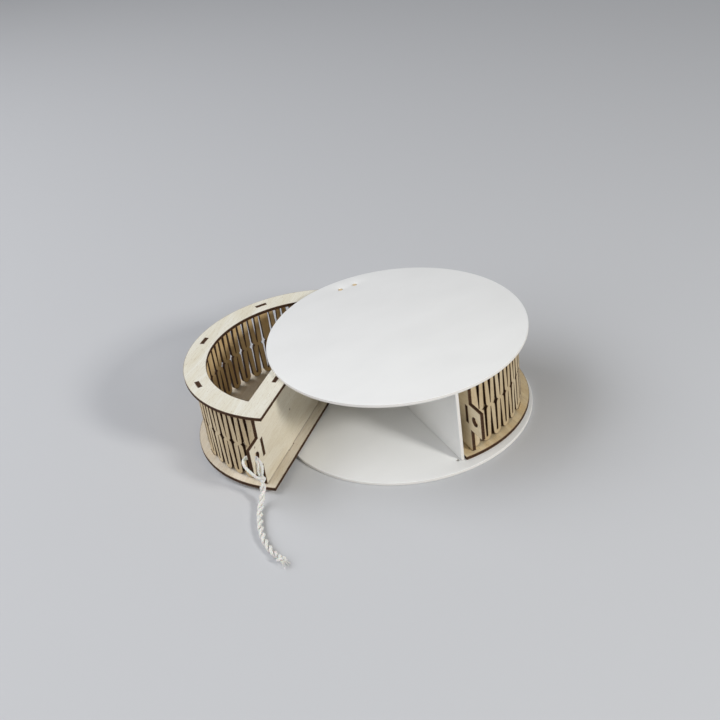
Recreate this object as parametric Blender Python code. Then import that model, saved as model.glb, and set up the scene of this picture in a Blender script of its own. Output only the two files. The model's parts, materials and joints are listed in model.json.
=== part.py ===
"""A round box of laser-cut plywood with two half-round trays that swing out from between two white discs.

Metres, +Z up. The origin is the centre of the underside of the base disc. +Y runs along the partition
to the rear, where both trays turn on upright pins, and +X points to the right tray. The left tray is
modelled swung part of the way out, and the right tray closed.

A tray is laid out in its own flat frame: u runs along its straight wall to the rear, v runs from the
straight wall into the half circle, and the centre of its round edge is at (0, 0).
"""

import math

import bmesh
import bpy
from mathutils import Vector

MM = 0.001

# Driving dimensions
PLY = 3.0 * MM  # thickness of every plate
GLUE_GAP = 0.3 * MM  # left between pieces that touch
DISC_RADIUS = 115.0 * MM
BAY_HEIGHT = 76.0 * MM  # clear height between the two discs
PARTITION_SETBACK = 11.5 * MM  # from the front of a disc back to the partition

TRAY_CENTRE = 7.5 * MM  # from the middle of the partition to the centre of a tray's round edge
EDGE_STEP = 1.5 * MM  # from the edge of a disc in to a closed tray
SIDE_GAP = 0.8 * MM  # between the partition and a closed tray
LOW_GAP = 0.5 * MM  # between the base disc and a tray
HIGH_GAP = 1.0 * MM  # between a tray and the lid
FRAME_WIDTH = 20.2 * MM
LEFT_OPEN = math.radians(45.3)  # how far the left tray stands open

PIN_RADIUS = 2.0 * MM
PIN_RUNNING_GAP = 0.5 * MM
PIN_RECESS = 0.3 * MM  # how far a pin ends below the outer face of a disc
PIN_FROM_EDGE = 7.2 * MM  # from the round edge of a tray in to its pin
SWING_GAP = 0.8 * MM  # between the partition's rear end and a turning tray

WALL_LEDGE = 7.3 * MM  # from the tray's round edge in to the curved wall
WALL_SETBACK = 8.6 * MM  # from the tray's straight edge in to the straight wall
WALL_END_MARGIN = 3.06 * MM  # wood left at each end of the straight wall, past the tenon's slit
EAR_REACH = 17.6 * MM
EAR_LOW = 28.5 * MM
EAR_HEIGHT = 26.0 * MM
EAR_HOLE_RADIUS = 4.25 * MM
EAR_HOLE_FROM_END = 10.1 * MM
EAR_HOLE_HEIGHT = 41.0 * MM

TAB_LENGTH = 9.6 * MM
WALL_TAB_AT = 49.5 * MM  # from the middle of the straight wall to each of its tabs
CURVED_TAB_ANGLES = (46.0, 90.0, 134.0)
TENON_LOW = 34.2 * MM
TENON_HEIGHT = 16.5 * MM

TAB_SHOULDER = 0.2 * MM  # from each side of a tab on the curved wall to the slit beside it
FINGERS_BETWEEN = 4  # fingers from one broad finger with a tab to the next
FINGERS_AT_END = 4  # fingers from the last broad finger to the end strip
OUTER_GAP = 3.2 * MM  # gap between two fingers at the edges of the sheet
SLIT_AT_MIDDLE = 6.0 * MM  # slit inside a finger at half height, where it opens to a small star
SLIT_AT_SHOULDER = 1.9 * MM
SLIT_AT_END = 0.9 * MM
SHOULDER = 2.2 * MM  # from half height to the shoulder of the star
BRIDGE = 4.0 * MM  # height of the crossing that joins two fingers
SLIT_MARGIN = 4.2 * MM  # from the end of a slit to the edge of the sheet

CORD_DIAMETER = 2.8 * MM
TAIL_DIAMETER = 5.6 * MM  # two strands twisted together
KNOT_RADIUS = 4.2 * MM
BASE_HOLE_RADIUS = 1.5 * MM
BASE_HOLE_FROM_PLY = 0.5 * MM  # between the small hole in the base and the partition's face
BASE_HOLE_FROM_FRONT = 3.0 * MM  # from the partition's front edge back to the hole

# Fineness of the faceted shapes
DISC_SEGMENTS = 128
PIN_SEGMENTS = 16
EDGE_SEGMENTS = 60  # round edge of a tray
OPENING_SEGMENTS = 48
CORNER_SEGMENTS = 5
SLOT_SEGMENTS = 2
FINGER_END_SEGMENTS = 3
KNOT_SUBDIVISIONS = 2
CORD_BEVEL_RESOLUTION = 2
CURVE_STEPS = 24  # between two points of a cord's route
LOOP_SPACING = 1.25  # between the points of a cord's tube, in diameters
TAIL_SPACING = 1.5
SHARP_ANGLE = math.radians(30)

# Heights and places that follow from them
BASE_TOP = PLY
LID_LOW = BASE_TOP + BAY_HEIGHT
LID_TOP = LID_LOW + PLY
FLOOR_LOW = BASE_TOP + LOW_GAP
FLOOR_TOP = FLOOR_LOW + PLY
FRAME_TOP = LID_LOW - HIGH_GAP
FRAME_LOW = FRAME_TOP - PLY
WALL_LOW = FLOOR_TOP + GLUE_GAP
WALL_TOP = FRAME_LOW - GLUE_GAP
TRAY_RADIUS = DISC_RADIUS - TRAY_CENTRE - EDGE_STEP  # round edge of the tray's floor and frame
STRAIGHT_EDGE = TRAY_CENTRE - PLY / 2 - SIDE_GAP  # how far the tray runs past its arc's centre
PIVOT_U = TRAY_RADIUS - PIN_FROM_EDGE
PARTITION_FRONT = PARTITION_SETBACK - DISC_RADIUS
PARTITION_CLEARS = PIN_FROM_EDGE + SWING_GAP
PARTITION_REAR = PIVOT_U - math.sqrt(PARTITION_CLEARS**2 - (TRAY_CENTRE - PLY / 2) ** 2)
WALL_RADIUS_OUT = TRAY_RADIUS - WALL_LEDGE
WALL_RADIUS = WALL_RADIUS_OUT - PLY / 2
WALL_RADIUS_IN = WALL_RADIUS_OUT - PLY
WALL_OUTER = WALL_SETBACK - STRAIGHT_EDGE
WALL_INNER = WALL_OUTER + PLY
SLIT_OUTER = math.sqrt(WALL_RADIUS_OUT**2 - WALL_OUTER**2) + GLUE_GAP
SLIT_INNER = math.sqrt(WALL_RADIUS_IN**2 - WALL_INNER**2) - GLUE_GAP
WALL_HALF_LENGTH = SLIT_OUTER + WALL_END_MARGIN
EAR_TIP = WALL_HALF_LENGTH + EAR_REACH
EAR_HOLE_U = -(EAR_TIP - EAR_HOLE_FROM_END)
HALF_SHEET = (WALL_TOP - WALL_LOW) / 2
SHEET_MIDDLE = (WALL_TOP + WALL_LOW) / 2


def clear_scene():
    for old in list(bpy.data.objects):
        bpy.data.objects.remove(old, do_unlink=True)


def material(name, colour, roughness):
    made = bpy.data.materials.new(name)
    made.use_nodes = True
    shader = made.node_tree.nodes["Principled BSDF"]
    shader.inputs["Base Color"].default_value = (*colour, 1.0)
    shader.inputs["Roughness"].default_value = roughness
    shader.inputs["Metallic"].default_value = 0.0
    return made


def white_paint(piece):
    return material(piece + "_white_paint", (0.82, 0.82, 0.81), 0.45)


def birch_ply(piece):
    return material(piece + "_birch_ply", (0.72, 0.60, 0.42), 0.6)


def cotton(piece):
    return material(piece + "_cotton", (0.80, 0.80, 0.78), 0.85)


def pivot(side, turn):
    """An empty on a tray's pin, turned as far as the tray stands open. side is 1 right and -1 left."""
    name = "right_tray" if side > 0 else "left_tray"
    empty = bpy.data.objects.new(name, None)
    empty.location = (side * TRAY_CENTRE, PIVOT_U, 0.0)
    empty.rotation_euler = (0.0, 0.0, side * turn)
    bpy.context.collection.objects.link(empty)
    return empty


def finish_object(name, mesh, look, parent=None):
    mesh.materials.append(look)
    piece = bpy.data.objects.new(name, mesh)
    piece.parent = parent
    bpy.context.collection.objects.link(piece)
    mesh.shade_smooth()
    mesh.set_sharp_from_angle(angle=SHARP_ANGLE)
    return piece


def tray_point(side, u, v, z):
    """A point of a tray's flat frame, seen from its pin."""
    return Vector((side * v, u - PIVOT_U, z))


def plate(name, loops, place, across, look, parent=None):
    """A flat plate: closed outlines, of which the inner ones are holes, filled and extruded by a vector."""
    bm = bmesh.new()
    edges = []
    for loop in loops:
        corners = [bm.verts.new(place(*point)) for point in loop]
        for one, two in zip(corners, corners[1:] + corners[:1]):
            edges.append(bm.edges.new((one, two)))
    bmesh.ops.triangle_fill(bm, use_beauty=True, use_dissolve=False, edges=edges)
    extruded = bmesh.ops.extrude_face_region(bm, geom=list(bm.faces), use_keep_orig=True)
    moved = [part for part in extruded["geom"] if isinstance(part, bmesh.types.BMVert)]
    bmesh.ops.translate(bm, verts=moved, vec=across)
    bmesh.ops.recalc_face_normals(bm, faces=bm.faces)
    mesh = bpy.data.meshes.new(name)
    bm.to_mesh(mesh)
    bm.free()
    return finish_object(name, mesh, look, parent)


def arc(centre_u, centre_v, radius, start, end, steps):
    """Points on an arc, angles in radians, both ends included."""
    points = []
    for step in range(steps + 1):
        angle = start + (end - start) * step / steps
        points.append((centre_u + radius * math.cos(angle), centre_v + radius * math.sin(angle)))
    return points


def circle(centre_u, centre_v, radius, segments):
    return arc(centre_u, centre_v, radius, 0.0, math.tau, segments)[:-1]


def rectangle(low_u, high_u, low_v, high_v):
    return [(low_u, low_v), (high_u, low_v), (high_u, high_v), (low_u, high_v)]


# Discs, partition and pins


def disc(name, low, holes):
    outlines = [circle(0.0, 0.0, DISC_RADIUS, DISC_SEGMENTS)]
    for side in (-1, 1):
        outlines.append(circle(side * TRAY_CENTRE, PIVOT_U, PIN_RADIUS + GLUE_GAP, PIN_SEGMENTS))
    outlines += holes
    plate(name, outlines, lambda x, y: Vector((x, y, low)), Vector((0, 0, PLY)), white_paint(name))


def partition():
    outline = rectangle(PARTITION_FRONT, PARTITION_REAR, BASE_TOP + GLUE_GAP, LID_LOW - GLUE_GAP)
    low_x = -PLY / 2
    plate(
        "partition",
        [outline],
        lambda y, z: Vector((low_x, y, z)),
        Vector((PLY, 0, 0)),
        white_paint("partition"),
    )


def pin(side):
    name = "right_pivot_pin" if side > 0 else "left_pivot_pin"
    outline = circle(side * TRAY_CENTRE, PIVOT_U, PIN_RADIUS, PIN_SEGMENTS)
    height = LID_TOP - 2 * PIN_RECESS
    plate(name, [outline], lambda x, y: Vector((x, y, PIN_RECESS)), Vector((0, 0, height)), birch_ply(name))


# Floor and frame of a tray


def tray_outline():
    """A half circle with its straight edge past the centre and its rear corner rounded about the pin."""
    corner = math.asin(STRAIGHT_EDGE / PIN_FROM_EDGE)
    front = math.asin(STRAIGHT_EDGE / TRAY_RADIUS)
    rear_corner = arc(PIVOT_U, 0.0, PIN_FROM_EDGE, -corner, 0.0, CORNER_SEGMENTS)
    round_edge = arc(0.0, 0.0, TRAY_RADIUS, 0.0, math.pi + front, EDGE_SEGMENTS)
    return rear_corner[:-1] + round_edge


def frame_opening():
    inner_radius = TRAY_RADIUS - FRAME_WIDTH
    inner_edge = FRAME_WIDTH - STRAIGHT_EDGE
    start = math.asin(inner_edge / inner_radius)
    return arc(0.0, 0.0, inner_radius, start, math.pi - start, OPENING_SEGMENTS)


def slots():
    """The slots in the floor and the frame that hold the tabs of both walls, and the hole for the pin."""
    loops = [circle(PIVOT_U, 0.0, PIN_RADIUS + PIN_RUNNING_GAP, PIN_SEGMENTS)]
    half = TAB_LENGTH / 2 + GLUE_GAP
    for place in (-WALL_TAB_AT, WALL_TAB_AT):
        loops.append(rectangle(place - half, place + half, WALL_OUTER - GLUE_GAP, WALL_INNER + GLUE_GAP))
    for degrees in CURVED_TAB_ANGLES:
        middle = math.radians(degrees)
        reach = half / WALL_RADIUS
        start, end = middle - reach, middle + reach
        outer = arc(0.0, 0.0, WALL_RADIUS_OUT + GLUE_GAP, start, end, SLOT_SEGMENTS)
        inner = arc(0.0, 0.0, WALL_RADIUS_IN - GLUE_GAP, end, start, SLOT_SEGMENTS)
        loops.append(outer + inner)
    return loops


def tray_plate(name, side, low, extra, parent):
    plate(
        name,
        [tray_outline()] + extra + slots(),
        lambda u, v: tray_point(side, u, v, low),
        Vector((0, 0, PLY)),
        birch_ply(name),
        parent,
    )


# Straight wall with its ear


def straight_wall_outline():
    """Once round the wall from its lower front corner, with two tabs below, two above and the ear."""
    half_tab = TAB_LENGTH / 2
    points = [(-WALL_HALF_LENGTH, WALL_LOW)]
    for place in (-WALL_TAB_AT, WALL_TAB_AT):
        points += [(place - half_tab, WALL_LOW), (place - half_tab, FLOOR_LOW)]
        points += [(place + half_tab, FLOOR_LOW), (place + half_tab, WALL_LOW)]
    points += [(WALL_HALF_LENGTH, WALL_LOW), (WALL_HALF_LENGTH, WALL_TOP)]
    for place in (WALL_TAB_AT, -WALL_TAB_AT):
        points += [(place + half_tab, WALL_TOP), (place + half_tab, FRAME_TOP)]
        points += [(place - half_tab, FRAME_TOP), (place - half_tab, WALL_TOP)]
    points += [(-WALL_HALF_LENGTH, WALL_TOP), (-WALL_HALF_LENGTH, EAR_LOW + EAR_HEIGHT)]
    points += [(-EAR_TIP, EAR_LOW + EAR_HEIGHT), (-EAR_TIP, EAR_LOW), (-WALL_HALF_LENGTH, EAR_LOW)]
    return points


def tenon_slits():
    """The slits near both ends of the straight wall that take the end tenons of the curved wall."""
    low, high = TENON_LOW - GLUE_GAP, TENON_LOW + TENON_HEIGHT + GLUE_GAP
    return [
        rectangle(-SLIT_OUTER, -SLIT_INNER, low, high),
        rectangle(SLIT_INNER, SLIT_OUTER, low, high),
    ]


def straight_wall(name, side, parent):
    plate(
        name,
        [straight_wall_outline(), circle(EAR_HOLE_U, EAR_HOLE_HEIGHT, EAR_HOLE_RADIUS, PIN_SEGMENTS)]
        + tenon_slits(),
        lambda u, z: tray_point(side, u, WALL_OUTER, z),
        Vector((side * PLY, 0, 0)),
        birch_ply(name),
        parent,
    )


# Curved wall: a flat sheet cut into fingers so that it bends, then bent


def round_end(width):
    """The rounded corner of a finger, from the gap upwards. The crossing is at 0, the slit at half width."""
    radius = (width - OUTER_GAP) / 2
    return arc(width / 2, HALF_SHEET - radius, radius, math.pi, math.pi / 2, FINGER_END_SEGMENTS)


def quarter_finger(width):
    """Faces from a crossing to a slit, over half height, each a list of (arc length, height)."""
    half = width / 2
    slit_end = HALF_SHEET - SLIT_MARGIN
    corner = round_end(width)
    return [
        [
            (0.0, 0.0),
            (half - SLIT_AT_MIDDLE / 2, 0.0),
            (half - SLIT_AT_SHOULDER / 2, SHOULDER),
            (0.0, BRIDGE / 2),
        ],
        [
            (0.0, BRIDGE / 2),
            (half - SLIT_AT_SHOULDER / 2, SHOULDER),
            (half - SLIT_AT_END / 2, slit_end),
            corner[0],
        ],
        [corner[0], (half - SLIT_AT_END / 2, slit_end), (half, slit_end)] + corner[:0:-1],
    ]


def four_ways(quarter, start, half):
    """A quarter's faces and their mirror images across half height and across the middle, half along."""
    faces = []
    for face in quarter:
        for across in (1, -1):
            for up in (1, -1):
                turned = [(start + half + across * (s - half), up * z) for s, z in face]
                faces.append(turned if across * up > 0 else turned[::-1])
    return faces


def finger(start, width):
    """A finger between two crossings, with a slit in its middle."""
    return four_ways(quarter_finger(width), start, width / 2)


def broad_finger(start, width, plain):
    """A finger with a plain stretch between two slits, and a tab above and below it."""
    half = (width + plain) / 2
    slit = width / 2
    slit_end = HALF_SHEET - SLIT_MARGIN
    tab_side = half - TAB_LENGTH / 2
    beside_slit = [
        (slit + SLIT_AT_MIDDLE / 2, 0.0),
        (half, 0.0),
        (half, HALF_SHEET),
        (tab_side, HALF_SHEET),
        (slit, HALF_SHEET),
        (slit, slit_end),
        (slit + SLIT_AT_END / 2, slit_end),
        (slit + SLIT_AT_SHOULDER / 2, SHOULDER),
    ]
    tab_top = FRAME_TOP - SHEET_MIDDLE
    tab = [(tab_side, HALF_SHEET), (half, HALF_SHEET), (half, tab_top), (tab_side, tab_top)]
    return four_ways(quarter_finger(width) + [beside_slit, tab], start, half)


def end_strip(wall_end, crossing, tenon_end, width):
    """The plain strip at one end, from its last crossing to the straight wall, with the tenon beyond."""
    way = 1 if wall_end > crossing else -1
    tenon_low = TENON_LOW - SHEET_MIDDLE
    tenon_high = tenon_low + TENON_HEIGHT
    side = [(0.0, 0.0), (0.0, BRIDGE / 2)] + round_end(width)
    rounded = [(crossing + way * s, z) for s, z in side]
    mirrored = [(s, -z) for s, z in rounded[:0:-1]]
    round_to = rounded[-1][0]
    wall_side = [(wall_end, z) for z in (HALF_SHEET, tenon_high, tenon_low, -HALF_SHEET)]
    faces = [
        rounded + mirrored,
        [(round_to, HALF_SHEET)] + wall_side + [(round_to, -HALF_SHEET)],
        [(wall_end, tenon_low), (wall_end, tenon_high), (tenon_end, tenon_high), (tenon_end, tenon_low)],
    ]
    if way < 0:
        return faces
    return [face[::-1] for face in faces]


def sheet_faces():
    """The whole flat sheet, as faces in (arc length from the rear end of the half circle, height)."""
    per_degree = WALL_RADIUS * math.pi / 180
    plain = TAB_LENGTH + 2 * TAB_SHOULDER
    between = (CURVED_TAB_ANGLES[1] - CURVED_TAB_ANGLES[0]) * per_degree
    width = (between - plain) / (FINGERS_BETWEEN + 1)
    broad = width + plain
    wall_end = math.asin((WALL_INNER + GLUE_GAP) / WALL_RADIUS_IN) * WALL_RADIUS
    tenon_end = math.asin((WALL_OUTER + GLUE_GAP) / WALL_RADIUS_IN) * WALL_RADIUS
    whole = math.pi * WALL_RADIUS
    first = CURVED_TAB_ANGLES[0] * per_degree - broad / 2 - FINGERS_AT_END * width
    faces = end_strip(wall_end, first, tenon_end, width)
    faces += end_strip(whole - wall_end, whole - first, whole - tenon_end, width)
    for number in range(FINGERS_AT_END):
        faces += finger(first + number * width, width)
        faces += finger(whole - first - (number + 1) * width, width)
    for degrees in CURVED_TAB_ANGLES:
        start = degrees * per_degree - broad / 2
        faces += broad_finger(start, width, plain)
        if degrees != CURVED_TAB_ANGLES[-1]:
            for number in range(FINGERS_BETWEEN):
                faces += finger(start + broad + number * width, width)
    return faces


def curved_wall(name, side, parent):
    """The sheet bent round its middle radius: an outer and an inner skin, joined along every free edge."""
    bm = bmesh.new()
    corners = {}
    free_edges = {}

    def corner(s, z):
        key = (round(s / MM, 3), round(z / MM, 3))
        if key not in corners:
            angle = s / WALL_RADIUS
            skins = []
            for radius in (WALL_RADIUS_OUT, WALL_RADIUS_IN):
                u, v = radius * math.cos(angle), radius * math.sin(angle)
                skins.append(bm.verts.new(tray_point(side, u, v, z + SHEET_MIDDLE)))
            corners[key] = skins
        return key

    for face in sheet_faces():
        keys = [corner(s, z) for s, z in face]
        bm.faces.new([corners[key][0] for key in keys])
        bm.faces.new([corners[key][1] for key in reversed(keys)])
        for one, two in zip(keys, keys[1:] + keys[:1]):
            if (two, one) in free_edges:
                del free_edges[(two, one)]
            else:
                free_edges[(one, two)] = True
    for one, two in free_edges:
        bm.faces.new((corners[two][0], corners[one][0], corners[one][1], corners[two][1]))
    bmesh.ops.recalc_face_normals(bm, faces=bm.faces)
    mesh = bpy.data.meshes.new(name)
    bm.to_mesh(mesh)
    bm.free()
    finish_object(name, mesh, birch_ply(name), parent)


# Tie cord on the left ear, in millimetres of the left tray's flat frame (u, v, height)

LOOP_ROUTE = [
    (-115.0, -1.0, 28.3),
    (-115.1, -1.8, 31.8),
    (-113.9, -1.9, 35.4),
    (-111.9, 0.7, 39.3),
    (-110.3, 4.9, 41.3),
    (-111.2, 9.2, 42.1),
    (-114.3, 12.0, 42.1),
    (-118.4, 11.9, 41.3),
    (-121.9, 9.2, 39.9),
    (-123.9, 5.2, 37.4),
    (-124.0, 1.8, 33.8),
    (-122.3, 0.2, 30.0),
    (-119.1, -0.1, 26.4),
]
KNOT_PLACE = (-115.2, -0.2, 23.8)
TAIL_ROUTE = [
    (-115.5, 0.0, 19.1),
    (-115.9, 0.4, 14.6),
    (-117.6, 0.8, 9.8),
    (-120.9, 0.8, 5.9),
    (-126.2, -0.2, 3.5),
    (-134.0, -2.6, 2.9),
    (-144.5, -7.2, 2.9),
    (-155.5, -13.2, 2.9),
    (-165.5, -20.6, 2.9),
    (-174.0, -29.4, 2.9),
    (-180.4, -38.6, 2.9),
]
END_KNOT_PLACE = (-182.9, -42.1, 4.1)


def smooth_line(route, spacing):
    """Points at an even spacing on a smooth curve through the route."""
    places = [Vector(point) for point in route]
    ends = [2 * places[0] - places[1]] + places + [2 * places[-1] - places[-2]]
    fine = []
    for before, start, end, after in zip(ends, ends[1:], ends[2:], ends[3:]):
        for step in range(CURVE_STEPS):
            t = step / CURVE_STEPS
            fine.append(
                0.5
                * (
                    2 * start
                    + (end - before) * t
                    + (2 * before - 5 * start + 4 * end - after) * t**2
                    + (3 * start - before - 3 * end + after) * t**3
                )
            )
    fine.append(places[-1])
    lengths = [0.0]
    for one, two in zip(fine, fine[1:]):
        lengths.append(lengths[-1] + (two - one).length)
    count = max(2, round(lengths[-1] / spacing))
    line = []
    index = 0
    for number in range(count + 1):
        wanted = lengths[-1] * number / count
        while index < len(fine) - 2 and lengths[index + 1] < wanted:
            index += 1
        share = (wanted - lengths[index]) / (lengths[index + 1] - lengths[index])
        line.append(fine[index].lerp(fine[index + 1], share))
    return line


def cord(name, route, diameter, spacing, parent):
    curve = bpy.data.curves.new(name, "CURVE")
    curve.dimensions = "3D"
    curve.bevel_depth = diameter / 2
    curve.bevel_resolution = CORD_BEVEL_RESOLUTION
    curve.use_fill_caps = True
    line = smooth_line([tray_point(-1, u * MM, v * MM, z * MM) for u, v, z in route], spacing)
    spline = curve.splines.new("POLY")
    spline.points.add(len(line) - 1)
    for point, place in zip(spline.points, line):
        point.co = (*place, 1.0)
    curve.materials.append(cotton(name))
    piece = bpy.data.objects.new(name, curve)
    piece.parent = parent
    bpy.context.collection.objects.link(piece)


def knot(name, place, radius, parent):
    bm = bmesh.new()
    bmesh.ops.create_icosphere(bm, subdivisions=KNOT_SUBDIVISIONS, radius=radius)
    u, v, z = place
    bmesh.ops.translate(bm, verts=bm.verts, vec=tray_point(-1, u * MM, v * MM, z * MM))
    mesh = bpy.data.meshes.new(name)
    bm.to_mesh(mesh)
    bm.free()
    finish_object(name, mesh, cotton(name), parent)


def tray(side, turn):
    word = "right" if side > 0 else "left"
    parent = pivot(side, turn)
    tray_plate(word + "_tray_floor", side, FLOOR_LOW, [], parent)
    tray_plate(word + "_tray_frame", side, FRAME_LOW, [frame_opening()], parent)
    straight_wall(word + "_straight_wall", side, parent)
    curved_wall(word + "_curved_wall", side, parent)
    return parent


clear_scene()
base_hole = circle(
    -PLY / 2 - BASE_HOLE_FROM_PLY - BASE_HOLE_RADIUS,
    PARTITION_FRONT + BASE_HOLE_FROM_FRONT,
    BASE_HOLE_RADIUS,
    PIN_SEGMENTS,
)
disc("base_disc", 0.0, [base_hole])
disc("lid_disc", LID_LOW, [])
partition()
pin(-1)
pin(1)
tray(1, 0.0)
left_tray = tray(-1, LEFT_OPEN)
cord("cord_loop", LOOP_ROUTE, CORD_DIAMETER, LOOP_SPACING * CORD_DIAMETER, left_tray)
cord("cord_tail", TAIL_ROUTE, TAIL_DIAMETER, TAIL_SPACING * TAIL_DIAMETER, left_tray)
knot("cord_knot", KNOT_PLACE, KNOT_RADIUS, left_tray)
knot("cord_end_knot", END_KNOT_PLACE, KNOT_RADIUS - GLUE_GAP, left_tray)
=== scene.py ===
# %% [markdown]
# # A round wooden box with two trays that swing out
#
# The box is two white discs held apart by one upright board. Between the discs two half-round
# trays turn on wooden pins: the right one is closed, the left one stands open. All of it is
# cut by a laser from plywood 3 mm thick, so the faces are pale and every cut edge is burnt.
#
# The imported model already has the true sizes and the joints. This lesson dresses it: it loads
# that model as a fixed frame, builds each plate again with finer edges and rounder curves, and
# gives each real material its own procedural finish.

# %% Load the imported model
import json
import math

import bmesh
import bpy
from mathutils import Matrix, Vector


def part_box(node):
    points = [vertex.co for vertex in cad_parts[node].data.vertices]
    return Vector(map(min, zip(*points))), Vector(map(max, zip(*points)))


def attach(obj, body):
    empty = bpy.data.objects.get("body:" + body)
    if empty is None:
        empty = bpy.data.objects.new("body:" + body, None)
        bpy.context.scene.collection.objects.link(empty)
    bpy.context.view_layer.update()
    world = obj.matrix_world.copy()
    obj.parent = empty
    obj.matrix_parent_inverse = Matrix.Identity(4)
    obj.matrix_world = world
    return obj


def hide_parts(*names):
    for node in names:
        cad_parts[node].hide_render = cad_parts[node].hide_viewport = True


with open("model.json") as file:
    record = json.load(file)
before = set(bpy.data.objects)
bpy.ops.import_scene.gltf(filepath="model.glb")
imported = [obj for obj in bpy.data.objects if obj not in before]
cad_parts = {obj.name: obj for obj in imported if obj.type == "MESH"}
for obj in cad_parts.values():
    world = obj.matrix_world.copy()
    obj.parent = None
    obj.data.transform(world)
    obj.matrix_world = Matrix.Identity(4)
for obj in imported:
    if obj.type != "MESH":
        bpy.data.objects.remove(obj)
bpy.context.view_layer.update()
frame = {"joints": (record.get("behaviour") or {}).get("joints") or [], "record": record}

MM = 0.001

# %% [markdown]
# ## Camera
#
# The photograph looks down on the box from the front and a little from the left, and the
# camera leans over by some degrees. A camera has three turns: the heading round the upright,
# the dip below the horizon, and the lean round its own line of sight. Multiplying three simple
# rotations keeps each of them a number that one can read and change.

# %% Camera
CAMERA_PLACE = Vector((-338.9, -758.9, 571.4)) * MM
HEADING = math.radians(21.65)
DIP = math.radians(31.81)
LEAN = math.radians(8.54)
SENSOR_WIDTH = 36.0
FOCAL_LENGTH = 55.0

lens = bpy.data.cameras.new("camera")
lens.sensor_width = SENSOR_WIDTH
lens.lens = FOCAL_LENGTH
camera = bpy.data.objects.new("camera", lens)
camera.matrix_world = (
    Matrix.Translation(CAMERA_PLACE)
    @ Matrix.Rotation(-HEADING, 4, "Z")
    @ Matrix.Rotation(math.pi / 2 - DIP, 4, "X")
    @ Matrix.Rotation(-LEAN, 4, "Z")
)
bpy.context.collection.objects.link(camera)
bpy.context.scene.camera = camera
print("camera stands", round(CAMERA_PLACE.length, 3), "m from the middle of the box")

# %% [markdown]
# ## Colours and nodes
#
# Colours are written as sRGB hex, the way a colour picker shows them. The shader counts in
# linear light, so one function turns one into the other. A second small function adds a node,
# sets it and links it, which keeps every material below a short list of what it is made of.
# Each material starts with an empty shader, and ends with a colour and a fine relief for it.

# %% Helpers for materials
def srgb(code):
    """Linear red, green, blue and alpha of a hex colour such as "#F2EFE6"."""
    linear = []
    for start in (1, 3, 5):
        channel = int(code[start : start + 2], 16) / 255
        linear.append(channel / 12.92 if channel <= 0.04045 else ((channel + 0.055) / 1.055) ** 2.4)
    return (*linear, 1.0)


def add(tree, kind, settings, links):
    """Adds a node. An input gets a link where its value is another node's socket."""
    made = tree.nodes.new("ShaderNode" + kind)
    for name, value in settings.items():
        setattr(made, name, value)
    for name, value in links.items():
        if isinstance(value, bpy.types.NodeSocket):
            tree.links.new(value, made.inputs[name])
        else:
            made.inputs[name].default_value = value
    return made


def new_finish(name, roughness):
    """An empty material, its node tree and its shader."""
    finish = bpy.data.materials.new(name)
    finish.use_nodes = True
    shader = finish.node_tree.nodes["Principled BSDF"]
    shader.inputs["Roughness"].default_value = roughness
    return finish, finish.node_tree, shader


def cover(tree, shader, colour, height, strength, depth):
    """Gives the shader its colour and a relief, whose depth is in millimetres."""
    relief = add(tree, "Bump", {}, {"Height": height, "Strength": strength, "Distance": depth * MM})
    tree.links.new(colour, shader.inputs["Base Color"])
    tree.links.new(relief.outputs[0], shader.inputs["Normal"])


FACTOR, ONE, TWO, MIXED = 0, 6, 7, 2  # sockets of a colour mix
BLEND = {"data_type": "RGBA"}
TINT = {"data_type": "RGBA", "blend_type": "MULTIPLY"}
print("sRGB #808080 is linear", round(srgb("#808080")[0], 3))

# %% [markdown]
# ## Where a pattern lies
#
# Plywood grain follows the flat sheet, also where the sheet is bent afterwards. So every piece
# carries a "sheet" attribute: where each point lay on the flat sheet, in millimetres, with its
# height in the sheet's thickness as the third number. Grain is noise on that place, stretched
# along the fibres. Each piece shifts it by another amount, as if cut from another part of a board.

# %% Grain space
def sheet_place(tree):
    """Where a point lay on the flat sheet, in millimetres."""
    return add(tree, "Attribute", {"attribute_name": "sheet"}, {}).outputs["Vector"]


def sheet_depth(tree):
    """How far from the sheet's lower face a point lies in its thickness, in millimetres."""
    return add(tree, "SeparateXYZ", {}, {"Vector": sheet_place(tree)}).outputs["Z"]


def grain_space(tree, fibres, width, length, shift):
    """The flat sheet's millimetres, squeezed so that one unit is a pattern's width or length."""
    scale = (1 / length, 1 / width, 1 / width) if fibres == "along" else (1 / width, 1 / length, 1 / width)
    settings = {"Vector": sheet_place(tree), "Location": (shift, shift, shift), "Scale": scale}
    return add(tree, "Mapping", {}, settings).outputs["Vector"]


print("patterns are laid out on the flat sheet, in mm")

# %% [markdown]
# ## Cotton cord
#
# A soft white cord is tied to the left tray as a pull. It is spun cotton: matt, slightly fuzzy
# and a little see-through at its edges, which the sheen of the shader stands for. Fibres run
# along each strand, so the colour and the bump are noise drawn out along it.

# %% Spun cotton
YARN_WIDTH = 0.35  # mm
YARN_LENGTH = 2.5


def spun_cotton(name):
    finish, tree, shader = new_finish(name, 0.85)
    shader.inputs["Sheen Weight"].default_value = 0.35
    shader.inputs["Sheen Roughness"].default_value = 0.5
    shader.inputs["Subsurface Weight"].default_value = 0.12
    shader.inputs["Subsurface Scale"].default_value = 0.8 * MM
    space = grain_space(tree, "along", YARN_WIDTH, YARN_LENGTH, 0.0)
    fibres = add(tree, "TexNoise", {}, {"Vector": space, "Scale": 1.0, "Detail": 3.0})
    shades = {FACTOR: fibres.outputs[0], ONE: srgb("#DDDAD2"), TWO: srgb("#F8F7F3")}
    colour = add(tree, "Mix", BLEND, shades)
    cover(tree, shader, colour.outputs[MIXED], fibres.outputs[0], 0.6, 0.12)
    return finish


cotton = spun_cotton("spun_cotton")
print("finish:", cotton.name)

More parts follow.
